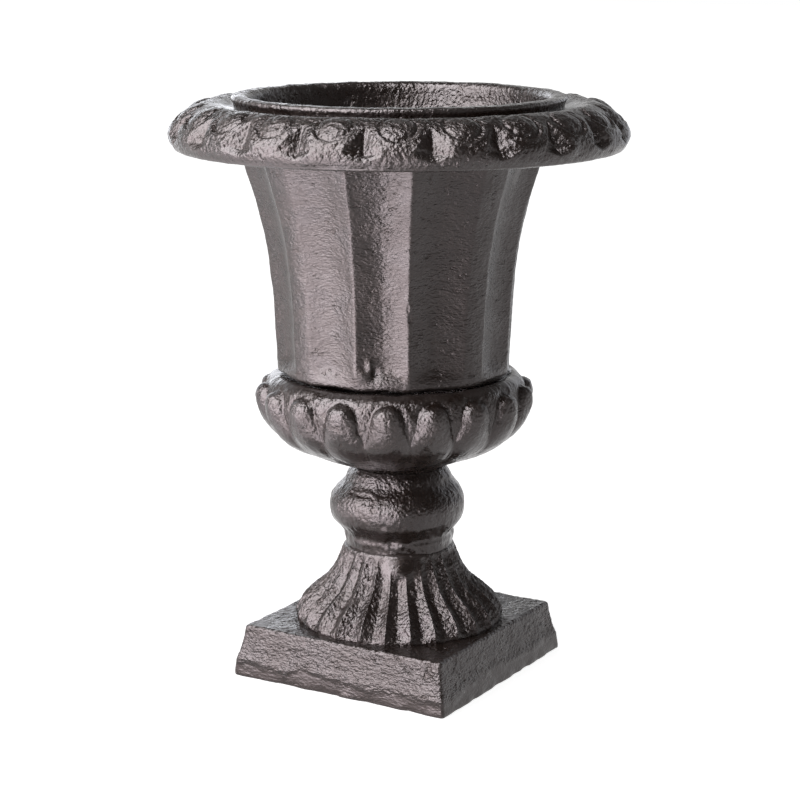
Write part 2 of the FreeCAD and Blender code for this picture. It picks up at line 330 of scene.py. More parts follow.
def make_rim():
    section, owner = section_loop(
        (66, [(88.6, 219.0), (90.0, 218.7), (91.0, 219.5), (91.6, 220.8), (92.5, 222.8), (92.75, 224.8),
              (92.4, 226.8), (91.4, 228.6), (89.8, 230.0), (87.5, 232.0), (84.7, 234.1), (82.0, 235.6),
              (79.1, 236.8), (76.8, 237.2), (74.8, 236.8), (72.0, 235.9), (69.6, 234.8), (67.4, 234.2),
              (64.5, 234.0)]),
        (4, [(64.5, 234.0), (61.8, 232.0), (61.2, 228.2)]),
        (12, [(61.2, 228.2), (68.0, 228.8), (74.0, 227.6), (80.5, 225.0), (85.2, 222.0), (87.4, 219.8),
              (88.6, 219.0)]))
    grid, degrees = turned_grid(section, RIM_COLUMNS)
    outer = (owner == 0)[:, None]
    along = run_lengths(section, owner, 0)
    crest = along[np.argmax(section[:, 1] * outer[:, 0])]
    reach = np.where(outer, crest + CREST_REACH - along, 0)
    relief = egg_and_dart(reach, degrees, section[:, :1]) * outer * step(reach, 3, 9)
    band = step(reach, 2, 8) * (1 - step(reach, 32.5, 34.5))
    coarse = 0.1 + 0.06 * step(reach, 22, 27)
    skin = sand(grid, swell=0.3, coarse=coarse, fine=0.13, seed=11) * (0.3 + 0.9 * band)
    grid = raised(grid, relief)
    grid = raised(grid, skin - SKIN_SET_BACK)
    return casting_piece("bowl_rim", grid, band)


rim = make_rim()

# %% [markdown]
# ## Collar and mouth
#
# A plain ring rises inside the frieze, with a rounded top. Its outer wall leans out over the groove, which
# draws a dark line, and its inner wall runs on down into the bowl. It is a little uneven.


# %% collar
COLLAR_COLUMNS = 1000


def make_collar():
    section, owner = section_loop(
        (34, [(66.3, 233.4), (66.6, 236.2), (67.5, 238.0), (67.3, 239.2), (65.8, 239.8), (63.4, 239.9),
              (61.6, 239.5), (60.4, 238.5), (59.9, 237.0), (59.6, 235.0), (59.0, 231.0), (58.2, 226.8)]),
        (40, [(58.2, 226.8), (56.6, 222.0), (55.0, 216.0), (51.9, 206.0), (48.4, 194.0), (46.4, 187.0)]),
        (12, [(46.4, 187.0), (47.4, 187.2), (49.4, 194.0), (52.9, 206.0), (56.3, 216.0), (59.3, 223.0),
              (61.5, 228.0), (64.0, 231.5), (66.3, 233.4)]))
    grid, _ = turned_grid(section, COLLAR_COLUMNS)
    visible = (owner < 2)[:, None]
    skin = sand(grid, swell=0.2, coarse=0.08, fine=0.12, seed=21) * visible
    grid = raised(grid, skin - SKIN_SET_BACK)
    return casting_piece("bowl_collar", grid, 0.6)


collar = make_collar()

# %% [markdown]
# ## Castings off their axis
#
# In the photograph the body and the base stand about 2 mm to the left of the rim and the foot, and the
# knop a little less. The solids are concentric, so only these skins slide, inside the solids' box.

# %% castings off their axis
BODY_SLIDE = 2.1
BASE_SLIDE = 1.7
KNOP_SLIDE = 0.8
PICTURE_RIGHT = np.array([-math.sin(math.radians(CAMERA_POLAR)), math.cos(math.radians(CAMERA_POLAR)), 0.0])


def slid(grid, amount):
    """The grid moved to the left of the picture by an amount in millimetres for each row."""
    return grid - amount[:, :, None] * PICTURE_RIGHT


# %% [markdown]
# ## Fluted body
#
# Each quarter has one plain fillet and three hollow flutes that meet in arrises. The arrises are rounded
# a little, and one is chipped twice. The flutes' floors keep the coarser marks of the sand, and a torn
# flash stands at the body's foot, in front. A patch such as the flash or a chip is written as its rise,
# its bearing from the camera's side, its height, and its own width and tallness.

# %% body
BODY_COLUMNS = 920
FLUTE_DEPTH = 2.3
FILLET_SHARE = 0.35     # hollow of the fillet, as a share of its chord's depth
ARRIS_ROUND = 0.06      # rounding of an arris, as a share of half a flute
FLASH = ((1.3, -15, 133.5, 3.0, 1.6), (1.5, -12, 137.0, 1.3, 2.0), (1.1, -4, 131.5, 5.0, 2.2),
         (-1.6, -9.5, 134.0, 1.4, 1.4))
CHIPS = ((-0.8, 7.5, 157.0, 0.7, 1.6), (-0.6, 6.5, 160.5, 0.5, 1.2))


def flutes(degrees, radius):
    """Depth of the hollow flutes below the arris circle, in millimetres, and the share of the way across.

    Across a flute the hollow is (depth of the chord + flute depth) (1 - u^2), with u from -1 to 1. At an
    arris the distance w = 1 - |u| becomes sqrt(w^2 + r^2) - r, which rounds it."""
    quarter = (degrees - ARRISES[0]) % 90.0 + ARRISES[0]
    hollow = np.zeros(np.broadcast(degrees, radius).shape)
    across = np.ones_like(quarter)
    for number, (start, end) in enumerate(zip(ARRISES, ARRISES[1:])):
        inside = (quarter >= start) & (quarter < end)
        u = (quarter - (start + end) / 2) / ((end - start) / 2)
        chord = radius * (1 - math.cos(math.radians((end - start) / 2)))
        depth = FILLET_SHARE * chord if number == 0 else chord + FLUTE_DEPTH
        from_arris = np.sqrt((1 - np.abs(u)) ** 2 + ARRIS_ROUND**2) - ARRIS_ROUND
        hollow = np.where(inside, depth * from_arris * (2 - from_arris), hollow)
        across = np.where(inside, u, across)
    return hollow, across


def blob(grid, polar, height, width, tall):
    """Round patch on a turned surface: a bell round a place given by polar angle and height."""
    degrees = np.degrees(np.arctan2(grid[:, :, 1], grid[:, :, 0]))
    radius = np.hypot(grid[:, :, 0], grid[:, :, 1])
    across = np.radians(turn_from(degrees, polar)) * radius
    return np.exp(-((across / width) ** 2) - ((grid[:, :, 2] - height) / tall) ** 2)


def patches(grid, marks):
    """Sum of the patches in a list of marks."""
    return sum(rise * blob(grid, CAMERA_POLAR + bearing, height, width, tall)
               for rise, bearing, height, width, tall in marks)


def make_body():
    section, owner = section_loop(
        (80, [(46.4, 126.9), (47.6, 127.6), (48.1, 129.0), (48.4, 135.8), (48.9, 145.9), (49.5, 158.0),
              (50.7, 170.0), (52.5, 182.1), (55.4, 195.3), (59.6, 209.2), (63.0, 219.5), (66.6, 230.5)]),
        (4, [(66.6, 230.5), (65.6, 232.2), (62.5, 231.6), (60.6, 229.5)]),
        (22, [(60.6, 229.5), (59.4, 224.5), (56.2, 216.0), (52.8, 206.0), (49.2, 194.5), (46.9, 188.0),
              (45.0, 183.0), (42.7, 160.0), (41.1, 140.0), (41.5, 127.5)]),
        (5, [(41.5, 127.5), (43.5, 126.6), (46.4, 126.9)]))
    grid, degrees = turned_grid(section, BODY_COLUMNS)
    outer = (owner == 0)[:, None]
    height = section[:, 1:2]
    hollow, across = flutes(degrees, section[:, :1])
    floor_share = 1 - across[None, :] ** 2 + 0 * hollow
    coarse = 0.05 + 0.03 * floor_share
    skin = sand(grid, swell=0.26, coarse=coarse, fine=0.09, seed=31, stretch=(1.5, 1.5, 0.8))
    flash = patches(grid, FLASH)
    chips = patches(grid, CHIPS)
    grid = raised(grid, -hollow * outer * (0.25 + 0.75 * step(height, 127.5, 136.0)))
    grid = raised(grid, (skin + flash + chips) * outer)
    grid = slid(grid, BODY_SLIDE * outer * (1 - 0.3 * step(height, 226, 230)))
    return casting_piece("bowl_body", grid, (0.45 + 0.4 * floor_share) * outer)


body = make_body()

# %% [markdown]
# ## Gadrooned base
#
# The base of the bowl swells into eighteen gadroons. Each begins in a round knob under the shoulder and
# tapers towards the stem. Between two knobs a finger of the shoulder runs down and closes to a thin seam.


# %% base
BASE_COLUMNS = 54 * LOBES
SHOULDER_DROP = 3.0     # the reach counts from this far before the end of the outside run
LOBE_START = 6.0        # reach at which a lobe's arch begins
LOBE_ARCH = 6.5         # length over which it grows to its full width
LOBE_DEPTH = 2.9
KNOB_REACH = 12.5
KNOB_HEIGHT = 0.9
KNOB_GROOVE = 0.6


def gadroons(reach, degrees, radius):
    """Height of the lobes in millimetres. reach is the distance down from the shoulder.

    A lobe begins at an arch: its half width grows as sqrt(1 - (1 - v)^2) over the arch's length, and its
    section is (1 - (u / half width)^2) to the power 0.6. A round knob sits on its upper end, in a groove."""
    u = turn_from(degrees, LOBE_VALLEY + LOBE_PITCH / 2, LOBE_PITCH) / (LOBE_PITCH / 2)
    v = np.clip((reach - LOBE_START) / LOBE_ARCH, 0, 1)
    finger = 0.72 + 0.28 * step(reach, 13, 24)
    half_width = np.maximum(finger * np.sqrt(1 - (1 - v) ** 2), 0.01)
    dome = np.clip(1 - (u / half_width) ** 2, 0, 1) ** 0.6
    pitch = np.radians(LOBE_PITCH) * radius
    depth = (np.minimum(0.15 * pitch, LOBE_DEPTH) * (1 - 0.62 * step(reach, 17, 32))
             * (1 - step(reach, 50, 62)))
    seam = 0.35 * bell((np.abs(u) - 1) * pitch / 2, 0.35) * step(reach, 16, 24)
    sideways = u * pitch / 2
    knob = KNOB_HEIGHT * bell(np.hypot(sideways / 4.6, (reach - KNOB_REACH) / 5.0), 1.0)
    ring = np.hypot(sideways / 6.6, (reach - KNOB_REACH) / 7.4) - 1.0
    groove = -KNOB_GROOVE * bell(ring, 0.16) * (1 - step(reach, 11, 14))
    return depth * dome * step(reach, 5.5, 9.0) + seam + knob + groove


def make_base():
    section, owner = section_loop(
        (8, [(4.9, 87.4), (5.6, 86.9), (12.0, 86.75), (18.8, 86.75)]),
        (68, [(18.8, 86.75), (21.0, 88.2), (29.0, 91.4), (37.0, 94.6), (45.0, 98.8), (49.4, 102.8),
              (52.2, 107.9), (53.5, 112.6), (54.1, 116.6), (53.8, 120.0), (52.8, 123.0), (50.9, 125.2),
              (48.6, 126.4), (46.2, 126.2), (44.6, 125.6)]),
        (20, [(44.6, 125.6), (43.4, 125.4), (42.2, 124.0), (42.0, 112.0), (36.5, 101.0), (22.0, 95.1),
              (14.0, 95.0), (5.6, 95.0), (4.9, 94.5)]),
        (5, [(4.9, 94.5), (4.9, 87.4)]))
    grid, degrees = turned_grid(section, BASE_COLUMNS)
    outer = (owner == 1)[:, None]
    along = run_lengths(section, owner, 1)
    reach = np.where(outer, along.max() - SHOULDER_DROP - along, 0)
    relief = gadroons(reach, degrees, section[:, :1]) * outer
    knobs = step(reach, 2, 6) * (1 - step(reach, 16, 22))
    skin = sand(grid, swell=0.3, coarse=0.07 + 0.1 * knobs, fine=0.08 + 0.1 * knobs, seed=41) * outer
    grid = raised(grid, relief)
    grid = raised(grid, skin - SKIN_SET_BACK * outer)
    grid = slid(grid, BASE_SLIDE * outer * step(reach, 64, 44) * step(reach, -3, 0))
    return casting_piece("bowl_base", grid, knobs)


base = make_base()

# %% [markdown]
# ## Stem
#
# The pedestal is the second casting. Its top is turned in the pattern: a neck under the bowl's seat, a
# knop, a groove and a small collar. The coat ran a little here and gathered in the groove.


# %% stem
STEM_COLUMNS = 720
CRACK = ((-0.7, -38, 78.0, 4.5, 0.5),)


def make_stem():
    section, owner = section_loop(
        (64, [(21.6, 50.4), (22.3, 52.6), (22.6, 54.4), (23.1, 56.8), (22.9, 58.6), (23.8, 60.5),
              (27.0, 64.5), (28.3, 68.9), (28.0, 73.3), (26.0, 77.0), (22.7, 80.5), (21.2, 83.9),
              (19.2, 86.4), (18.4, 86.7)]),
        (7, [(18.4, 86.7), (12.0, 86.65), (5.4, 86.65), (4.9, 86.2)]),
        (24, [(4.9, 86.2), (4.9, 79.2), (5.5, 78.5), (14.6, 78.5), (15.4, 77.8), (15.5, 64.0), (15.6, 52.5),
              (16.2, 50.6)]),
        (4, [(16.2, 50.6), (21.6, 50.4)]))
    grid, _ = turned_grid(section, STEM_COLUMNS)
    outer = (owner == 0)[:, None]
    height = section[:, 1:2]
    skin = sand(grid, swell=0.5, coarse=0.12, fine=0.12, seed=51) * outer
    crack = patches(grid, CRACK)
    drips = 0.5 * lumps(grid, 3.0, 55, (1, 1, 4)) * bell(height - 60.0, 3.5)
    grid = raised(grid, skin + (crack + drips) * outer - SKIN_SET_BACK * outer)
    grid = slid(grid, KNOP_SLIDE * outer * bell(height - 70.0, 9.0))
    return casting_piece("pedestal_stem", grid, step(height, 66, 72))


stem = make_stem()

# %% [markdown]
# ## Fluted foot
#
# The foot spreads in 26 narrow hollow flutes. They are shallow under the collar and deepen towards the
# plinth, where each ends in a rounded toe. In front, under the collar, the coat spilled and filled them.


# %% foot
FOOT_COLUMNS = 38 * RIBS
RIB_DEPTH = 2.5
SPILL = ((1.6, 3, 52.0, 8.0, 3.6), (1.3, 1, 47.0, 4.5, 2.6))
BEAD = ((0.9, 12.0, 39.5, 1.1, 1.1),)


def make_foot():
    section, owner = section_loop(
        (72, [(42.9, 20.4), (43.5, 21.6), (43.7, 23.4), (43.1, 25.4), (41.3, 28.2), (37.3, 32.2),
              (31.8, 36.7), (28.1, 41.5), (25.6, 46.8), (23.8, 51.0), (22.8, 52.8), (21.0, 53.2)]),
        (5, [(21.0, 53.2), (18.0, 53.0), (15.9, 52.4)]),
        (20, [(15.9, 52.4), (18.5, 43.0), (21.6, 34.0), (34.5, 21.0), (36.0, 14.6)]),
        (5, [(36.0, 14.6), (40.0, 16.4), (42.9, 20.4)]))
    grid, degrees = turned_grid(section, FOOT_COLUMNS)
    outer = (owner == 0)[:, None]
    radius, height = section[:, :1], section[:, 1:2]
    u = turn_from(degrees, RIB_MARK + RIB_PITCH / 2, RIB_PITCH) / (RIB_PITCH / 2)
    share = 0.5 + 0.5 * (1 - step(height, 24, 46))
    rib_chord = radius * (1 - math.cos(math.radians(RIB_PITCH / 2)))
    depth = (rib_chord + RIB_DEPTH * share) * (1 - step(height, 50, 53))
    relief = -depth * (1 - np.abs(u) ** 1.4) * outer * (0.25 + 0.75 * step(height, 20.4, 25.0))
    skin = sand(grid, swell=0.22, coarse=0.09, fine=0.12, seed=61) * outer
    spill = patches(grid, SPILL)
    bead = patches(grid, BEAD)
    smooth = np.clip(blob(grid, CAMERA_POLAR + 2, 49.5, 9.0, 4.5) * 1.6, 0, 1)
    grid = raised(grid, relief * (1 - smooth))
    grid = raised(grid, (skin * (1 - smooth) + spill * 0.6 + bead) * outer - SKIN_SET_BACK * outer)
    return casting_piece("pedestal_foot", grid, (1 - smooth) * outer)


foot = make_foot()

# %% [markdown]
# ## Plinth
#
# A square block, hollow from below. Its faces lean in, its top edge is soft, and its lower edge is as
# the mould left it: ragged, with a smoother strip where the pattern dragged. The rows of its section
# go from a rounded square outside to a circle under the foot, and back to a square in the pocket.


# %% plinth
PLINTH_COLUMNS = 900
PLINTH_CORNER = 1.5
PLINTH_MEAN_HALF_SIDE = 48.5
STRIP_HEIGHT = 7.0
STRIP_SET_BACK = 0.12
OUTLINE_FINENESS = 40   # places for each column when a square's outline is measured
IN_PLAN = np.array([1, 1, 0])


def rounded_square(degrees, half_side, corner):
    """Distance from the middle to a rounded square at each polar angle.

    On a side it is half side / cos(angle). Round a corner, whose centre is at (m, m) with
    m = half side - corner, it is m (cos + sin) + sqrt(corner^2 - m^2 (cos - sin)^2)."""
    folded = np.radians(np.abs(turn_from(degrees, 0, 90.0)))
    centre = half_side - corner
    cosine, sine = np.cos(folded), np.sin(folded)
    on_corner = centre * (cosine + sine) + np.sqrt(np.maximum(corner**2 - (centre * (cosine - sine)) ** 2, 0))
    return np.where(np.tan(folded) * half_side < centre, half_side / cosine, on_corner)


def even_square_angles(columns, half_side, corner):
    """Polar angles that divide a rounded square's outline into equal steps."""
    fine = np.linspace(0, 360, OUTLINE_FINENESS * columns + 1)
    distance = rounded_square(fine, half_side, corner)
    outline = np.column_stack([distance * np.cos(np.radians(fine)), distance * np.sin(np.radians(fine))])
    length = np.concatenate([[0], np.cumsum(np.linalg.norm(np.diff(outline, axis=0), axis=1))])
    return np.interp(np.linspace(0, length[-1], columns, endpoint=False), length, fine)


def make_plinth():
    section, owner = section_loop(
        (52, [(50.3, 0.0, 1), (50.5, 0.5, 1), (50.45, 2.4, 1), (49.9, 6.5, 1), (48.6, 11.0, 1),
              (47.2, 19.0, 1), (46.9, 20.6, 1), (46.0, 21.3, 1), (44.0, 21.3, 1)]),
        (22, [(44.0, 21.3, 1), (41.0, 21.3, 0.9), (39.0, 21.2, 0.5), (36.6, 20.9, 0)]),
        (6, [(36.6, 20.9, 0), (36.0, 19.0, 0), (36.0, 14.3, 0)]),
        (6, [(36.0, 14.3, 0), (37.6, 14.3, 0.6), (39.6, 14.3, 1)]),
        (18, [(39.6, 14.3, 1), (41.2, 12.6, 1), (43.6, 2.0, 1), (44.2, 0.2, 1)]),
        (8, [(44.2, 0.2, 1), (45.2, 0.0, 1), (49.0, 0.0, 1), (50.3, 0.0, 1)]))
    degrees = even_square_angles(PLINTH_COLUMNS, PLINTH_MEAN_HALF_SIDE, PLINTH_CORNER)
    half_side = section[:, :1]
    height = section[:, 1:2]
    square = section[:, 2:3]
    radius = (1 - square) * half_side + square * rounded_square(degrees, half_side, PLINTH_CORNER)
    grid = polar_grid(radius, section[:, 1], degrees)
    side = (owner == 0)[:, None]
    shown = np.isin(owner, (0, 1, 4, 5))[:, None]
    strip_top = STRIP_HEIGHT + 2.2 * lumps(grid * IN_PLAN, 14.0, 75) + 1.2 * lumps(grid, 4.0, 76)
    strip = (1 - step(grid[:, :, 2], strip_top - 2.4, strip_top + 0.8)) * side
    rough = sand(grid, swell=0.25, coarse=0.07, fine=0.12, seed=71, stretch=(1.4, 1.4, 0.8))
    skin = rough * (1 - 0.75 * strip) * shown
    edge_break = 0.3 * lumps(grid * IN_PLAN, 5.0, 77) * bell(height - 0.5, 1.8) * side
    corner_drop = 0.35 * lumps(grid, 6.0, 78) * bell(height - 20.6, 1.2) * side
    grid = raised(grid, skin + edge_break - STRIP_SET_BACK * strip + corner_drop)
    ragged = np.clip(0.5 * lumps(grid * IN_PLAN, 9.0, 79) + 0.2 * lumps(grid, 2.5, 80) - 0.15, 0, 1)
    grid[:, :, 2] += ragged * np.clip(1 - grid[:, :, 2] / 3.0, 0, 1) * side
    return casting_piece("pedestal_plinth", grid, 1 - strip)


plinth = make_plinth()

# %% [markdown]
# ## Bolt, nut and washers
#
# One zinc-plated M8 bolt draws the castings together. Its head stands in the bowl, and the nut is up
# in the hollow of the stem. A hexagon is turned like the rest: its distance from the axis is half the
# flats over the cosine of the angle to the nearest flat, and the chamfer is a cone that trims it.

# %% fastening
BOLT_RADIUS = 4.0
THREAD_PITCH = 1.25
THREAD_DEPTH = 0.6
THREAD_LENGTH = 22.0
SHANK_START = 22.2      # where the plain shank begins, above the bolt's end
LEAD_IN = 0.7           # how far the bolt's end is turned down
HEAD_HEIGHT = 5.3
FLATS = 13.0
FASTENER_COLUMNS = 144


def hexagon_rows(chamfer_radii, degrees):
    """Distance from the axis of a chamfered hexagon, one row for each chamfer radius."""
    flat = FLATS / 2 / np.cos(np.radians(turn_from(degrees, 30.0, 60.0)))
    return np.minimum(flat, np.array(chamfer_radii)[:, None])


def node_span(node):
    """Lowest and highest height of a solid, in millimetres."""
    low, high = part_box(node)
    return low.z / MM, high.z / MM


def make_bolt():
    bottom, top = node_span("bolt")
    head_base = top - HEAD_HEIGHT
    degrees = np.linspace(0, 360, FASTENER_COLUMNS, endpoint=False)
    thread_heights = np.arange(bottom, bottom + THREAD_LENGTH, THREAD_PITCH / 10)
    phase = (thread_heights[:, None] / THREAD_PITCH - degrees / 360.0) % 1.0
    groove = THREAD_DEPTH * np.abs(2 * phase - 1) ** 0.9
    ends = step(thread_heights, bottom, bottom + 1.0)[:, None]
    thread = (BOLT_RADIUS - LEAD_IN) + (LEAD_IN - groove) * ends
    plain_heights = np.array([bottom + SHANK_START, head_base - 0.4, head_base, head_base])
    plain = np.full((len(plain_heights), FASTENER_COLUMNS), BOLT_RADIUS)
    head_heights = np.array([head_base, head_base + 0.01, head_base + 4.2, head_base + 4.8,
                             top - 0.1, top, top])
    head = hexagon_rows([6.2, 7.4, 7.6, 7.3, 6.5, 6.2, 3.0], degrees)
    tip = np.array([[1.5], [3.1]]) + np.zeros(FASTENER_COLUMNS)
    radius = np.vstack([tip, thread, plain, head])
    heights = np.concatenate([[bottom, bottom], thread_heights, plain_heights, head_heights])
    return grid_mesh("bolt_m8", polar_grid(radius, heights, degrees), closed_rows=False)


def make_nut():
    bottom, top = node_span("nut")
    degrees = np.linspace(0, 360, FASTENER_COLUMNS, endpoint=False)
    outer_heights = np.array([bottom, bottom + 0.1, bottom + 0.6, bottom + 1.1,
                              top - 1.1, top - 0.6, top - 0.1, top])
    outer = hexagon_rows([6.0, 6.3, 7.2, 7.6, 7.6, 7.2, 6.3, 6.0], degrees)
    inner_heights = np.array([top, top - 0.6, bottom + 0.6, bottom])
    inner = np.array([[4.5], [3.95], [3.95], [4.5]]) + np.zeros(FASTENER_COLUMNS)
    radius = np.vstack([outer, inner])
    heights = np.concatenate([outer_heights, inner_heights])
    return grid_mesh("nut_m8", polar_grid(radius, heights, degrees))


def make_washer(name, node):
    """A stamped washer: one edge rounded by the punch, the other with a small burr."""
    bottom, top = node_span(node)
    section, _ = section_loop(
        (8, [(4.6, bottom), (8.1, bottom), (8.45, bottom + 0.3)]),
        (8, [(8.45, bottom + 0.3), (8.5, top - 0.2), (8.2, top)]),
        (8, [(8.2, top), (4.6, top)]),
        (6, [(4.6, top), (4.3, top - 0.3), (4.3, bottom + 0.3), (4.6, bottom)]))
    grid, _ = turned_grid(section, FASTENER_COLUMNS)
    return grid_mesh(name, raised(grid, 0.03 * lumps(grid, 3.0, 91) - 0.03))


bolt = make_bolt()
nut = make_nut()
washer_bowl = make_washer("washer_under_head", "washer_bowl")
washer_pedestal = make_washer("washer_under_web", "washer_pedestal")

# %% [markdown]
# ## Materials: the skin of a casting
#
# Paint on sand-cast iron looks rough at every distance: grains of a millimetre and less, patches where
# the coat lies thick and shines, and pores. The node group below gives those as one height and two masks
# from object coordinates, and every casting uses it with its own grain. The coat is a dark brown
# dielectric, so its colour shows only where nothing bright is mirrored in it.


# %% node helpers
def add_node(tree, kind, inputs=None, **settings):
    """A node of this kind with its settings and its inputs: a value, or the output socket to link from."""
    node = tree.nodes.new(kind)
    for name, value in settings.items():
        setattr(node, name, value)
    for name, value in (inputs or {}).items():
        if isinstance(value, bpy.types.NodeSocket):
            tree.links.new(value, node.inputs[name])
        else:
            node.inputs[name].default_value = value
    return node


def math_node(tree, operation, first, second=0.0, third=0.0):
    """Result of a math node on sockets or numbers."""
    return add_node(tree, "ShaderNodeMath", {0: first, 1: second, 2: third}, operation=operation).outputs[0]


def eased(tree, value, start, end, low=0.0, high=1.0):
    """Map Range with smooth ends."""
    ranges = {"Value": value, "From Min": start, "From Max": end, "To Min": low, "To Max": high}
    return add_node(tree, "ShaderNodeMapRange", ranges, interpolation_type="SMOOTHSTEP").outputs["Result"]


def noise(tree, vector, scale, detail=2.0, roughness=0.5):
    """Noise from 0 to 1 at this scale."""
    inputs = {"Vector": vector, "Scale": scale, "Detail": detail, "Roughness": roughness}
    return add_node(tree, "ShaderNodeTexNoise", inputs).outputs["Fac"]


def mixed_colour(tree, factor, first, second):
    """Colour between two colours."""
    inputs = {"Factor": factor, "A": (*first, 1), "B": (*second, 1)}
    mix = add_node(tree, "ShaderNodeMix", inputs, data_type="RGBA")
    return next(out for out in mix.outputs if out.type == "RGBA")


def empty_material(name):
    """A node material with nothing in its tree."""
    material = bpy.data.materials.new(name)
    material.use_nodes = True
    material.node_tree.nodes.clear()
    return material


# %% casting skin node group
SKIN_INPUTS = (("Vector", "NodeSocketVector", None), ("Grain per Metre", "NodeSocketFloat", 850.0),
               ("Flatten", "NodeSocketFloat", 1.0), ("Grainy", "NodeSocketFloat", 1.0))
SKIN_OUTPUTS = ("Height", "Thick Coat", "Pores")
COARSE_SCALE = 0.4      # scales, as shares of the grain's
BEAD_SCALE = 0.8
PORE_SCALE = 0.22
COARSE_SHARE = 0.7      # what each adds to the height
BEAD_SHARE = 0.35
GRAIN_SHARE = 0.7
PORE_SHARE = -0.5
PATCHES_PER_METRE = 90.0


def make_skin_group():
    """Height, thick coat and pores at a place.

    The height is the sum of grain, beads and coarse noise less the pores, times 0.25 + 0.75 grainy."""
    group = bpy.data.node_groups.new("casting_skin", "ShaderNodeTree")
    for name, kind, value in SKIN_INPUTS:
        made = group.interface.new_socket(name, in_out="INPUT", socket_type=kind)
        if value is not None:
            made.default_value = value
    for name in SKIN_OUTPUTS:
        group.interface.new_socket(name, in_out="OUTPUT", socket_type="NodeSocketFloat")
    inside = add_node(group, "NodeGroupInput").outputs
    squash = add_node(group, "ShaderNodeCombineXYZ", {"X": 1.0, "Y": 1.0, "Z": inside["Flatten"]}).outputs[0]
    squashed = add_node(group, "ShaderNodeVectorMath", {0: inside["Vector"], 1: squash}, operation="MULTIPLY")
    place = squashed.outputs[0]
    scale = inside["Grain per Metre"]
    grain = noise(group, place, scale, 2.5, 0.6)
    coarse = noise(group, place, math_node(group, "MULTIPLY", scale, COARSE_SCALE), 2.0, 0.5)
    cells = {"Vector": place, "Scale": math_node(group, "MULTIPLY", scale, BEAD_SCALE), "Smoothness": 0.6}
    from_cell = add_node(group, "ShaderNodeTexVoronoi", cells, feature="SMOOTH_F1").outputs["Distance"]
    beads = math_node(group, "SUBTRACT", 1.0, from_cell)
    coarse_part = math_node(group, "MULTIPLY", coarse, COARSE_SHARE)
    bead_part = math_node(group, "MULTIPLY_ADD", beads, BEAD_SHARE, coarse_part)
    mixed = math_node(group, "MULTIPLY_ADD", grain, GRAIN_SHARE, bead_part)
    pore_noise = noise(group, place, math_node(group, "MULTIPLY", scale, PORE_SCALE), 3.0, 0.6)
    pore = eased(group, pore_noise, 0.60, 0.72)
    level = math_node(group, "MULTIPLY_ADD", inside["Grainy"], 0.75, 0.25)
    pitted = math_node(group, "MULTIPLY_ADD", pore, PORE_SHARE, mixed)
    height = math_node(group, "MULTIPLY", pitted, level)
    thick = eased(group, noise(group, inside["Vector"], PATCHES_PER_METRE, 3.0, 0.55), 0.42, 0.62)
    add_node(group, "NodeGroupOutput", {"Height": height, "Thick Coat": thick, "Pores": pore})
    return group


casting_skin = make_skin_group()
print("node group:", casting_skin.name, [item.name for item in casting_skin.interface.items_tree])


# %% casting materials
DARK_BROWN = (0.019, 0.012, 0.009)
# painted highlight: the paler brown that ridges are given, standing in for the sheen on arrises
RIDGE_HIGHLIGHT_BROWN = (0.04, 0.032, 0.029)
SHEEN_TINT = (1.0, 0.94, 0.96, 1)
COAT_IOR = 1.5
RIDGE_HIGHLIGHT_FROM = 0.02        # heights of a ridge over which the painted highlight grows from none to full
RIDGE_HIGHLIGHT_TO = 0.22


def casting_material(name, grain, flatten, relief, rough):
    """Dark satin coat on cast iron, with a painted highlight: ridges are painted a paler brown.

    grain is in grains per metre, flatten squeezes them in height, and relief is their bump in millimetres."""
    material = empty_material(name)
    tree = material.node_tree
    place = add_node(tree, "ShaderNodeTexCoord").outputs["Object"]
    grainy = add_node(tree, "ShaderNodeAttribute", attribute_name="grainy").outputs["Fac"]
    ridge = add_node(tree, "ShaderNodeAttribute", attribute_name="ridge").outputs["Fac"]
    skin = add_node(tree, "ShaderNodeGroup", node_tree=casting_skin)
    tree.links.new(place, skin.inputs["Vector"])
    tree.links.new(grainy, skin.inputs["Grainy"])
    skin.inputs["Grain per Metre"].default_value = grain
    skin.inputs["Flatten"].default_value = flatten
    # painted highlight: the colour goes towards the paler brown where a ridge stands out
    ridge_highlight = math_node(tree, "MULTIPLY", eased(tree, ridge, RIDGE_HIGHLIGHT_FROM, RIDGE_HIGHLIGHT_TO), 0.8)
    colour = mixed_colour(tree, ridge_highlight, DARK_BROWN, RIDGE_HIGHLIGHT_BROWN)
    mottled = math_node(tree, "MULTIPLY_ADD", skin.outputs["Thick Coat"], -0.13, rough)
    roughness = math_node(tree, "MULTIPLY_ADD", skin.outputs["Pores"], 0.15, mottled)
    bump = add_node(tree, "ShaderNodeBump", {
        "Height": skin.outputs["Height"], "Strength": 1.0, "Distance": relief * MM})
    shader = add_node(tree, "ShaderNodeBsdfPrincipled", {
        "Base Color": colour, "Roughness": roughness, "Normal": bump.outputs["Normal"],
        "IOR": COAT_IOR, "Specular Tint": SHEEN_TINT})
    add_node(tree, "ShaderNodeOutputMaterial", {"Surface": shader.outputs[0]})
    return material


rim_coat = casting_material("coat_on_rim", grain=850.0, flatten=1.0, relief=0.75, rough=0.31)
body_coat = casting_material("coat_on_body", grain=820.0, flatten=2.0, relief=0.6, rough=0.34)
base_coat = casting_material("coat_on_base", grain=900.0, flatten=1.0, relief=0.6, rough=0.30)
foot_coat = casting_material("coat_on_foot", grain=900.0, flatten=1.0, relief=0.8, rough=0.32)
plinth_coat = casting_material("coat_on_plinth", grain=700.0, flatten=1.8, relief=0.9, rough=0.35)


# %% zinc
ZINC_DULL = (0.34, 0.34, 0.35)
ZINC_BRIGHT = (0.52, 0.52, 0.50)


